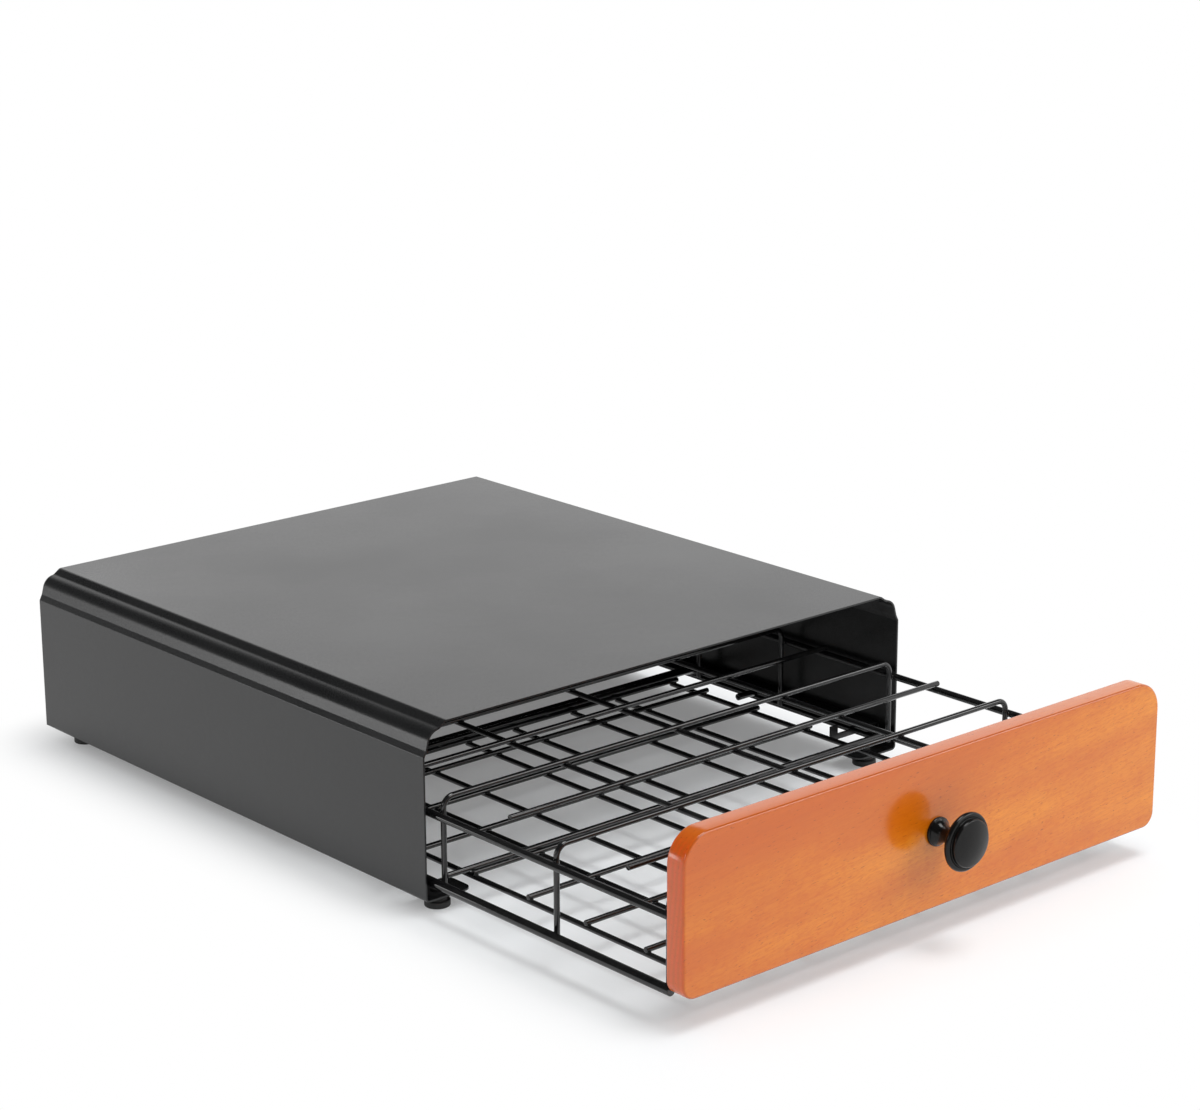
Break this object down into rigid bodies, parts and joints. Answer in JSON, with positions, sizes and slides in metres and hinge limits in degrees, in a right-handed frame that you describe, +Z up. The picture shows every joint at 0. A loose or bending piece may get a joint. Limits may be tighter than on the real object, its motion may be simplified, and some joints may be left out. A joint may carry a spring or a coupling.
{
  "type": "coffee pod drawer",
  "caption": "Bent steel housing on rubber feet with a sliding wire basket drawer, a wooden front board and a round knob; it holds disc-shaped coffee pods on edge in columns.",
  "frame": {"origin": "on the table, under the middle of the whole piece as stored, with the drawer standing 186.8 mm open; the housing's footprint is centred at y = +0.1059 m", "axes": "+X to the right of someone who faces the drawer front, +Y to the rear of the housing, +Z up; the drawer opens towards -Y"},
  "size_m": [0.34, 0.5698, 0.1015],
  "materials": {
    "housing_steel": "satin black powder coat",
    "basket_wire": "semi-gloss black powder coat",
    "knob_enamel": "semi-gloss black enamel",
    "board_wood": "orange-brown stained wood under clear gloss lacquer",
    "foot_rubber": "matt black",
    "screw_zinc": "zinc plated"
  },
  "bodies": {
    "housing": {"housing_shell": "housing_steel", "rear_panel": "housing_steel", "guide_channel_left": "housing_steel", "guide_channel_right": "housing_steel", "drawer_stop_left": "housing_steel", "drawer_stop_right": "housing_steel", "foot_front_left": "foot_rubber", "foot_front_right": "foot_rubber", "foot_rear_left": "foot_rubber", "foot_rear_right": "foot_rubber"},
    "drawer": {"front_board": "board_wood", "knob": "knob_enamel", "knob_screw": "screw_zinc", "board_bracket_left": "basket_wire", "board_bracket_right": "basket_wire", "board_screws": "screw_zinc", "lower_rail": "basket_wire", "upper_rail": "basket_wire", "hoop_front": "basket_wire", "hoop_second": "basket_wire", "hoop_middle": "basket_wire", "hoop_fourth": "basket_wire", "hoop_rear": "basket_wire", "middle_cross_wires": "basket_wire", "divider_wire_left": "basket_wire", "divider_wire_centre": "basket_wire", "divider_wire_right": "basket_wire", "bearer_wires": "basket_wire", "floor_cross_wires": "basket_wire", "floor_wires_column_1": "basket_wire", "floor_wires_column_2": "basket_wire", "floor_wires_column_3": "basket_wire", "floor_wires_column_4": "basket_wire", "stop_finger_left": "basket_wire", "stop_finger_right": "basket_wire"}
  },
  "joints": [
    {"name": "drawer_slide", "type": "slide", "parent": "housing", "child": "drawer", "axis": [0, -1, 0], "range_m": [-0.1868, 0.0734]}
  ]
}
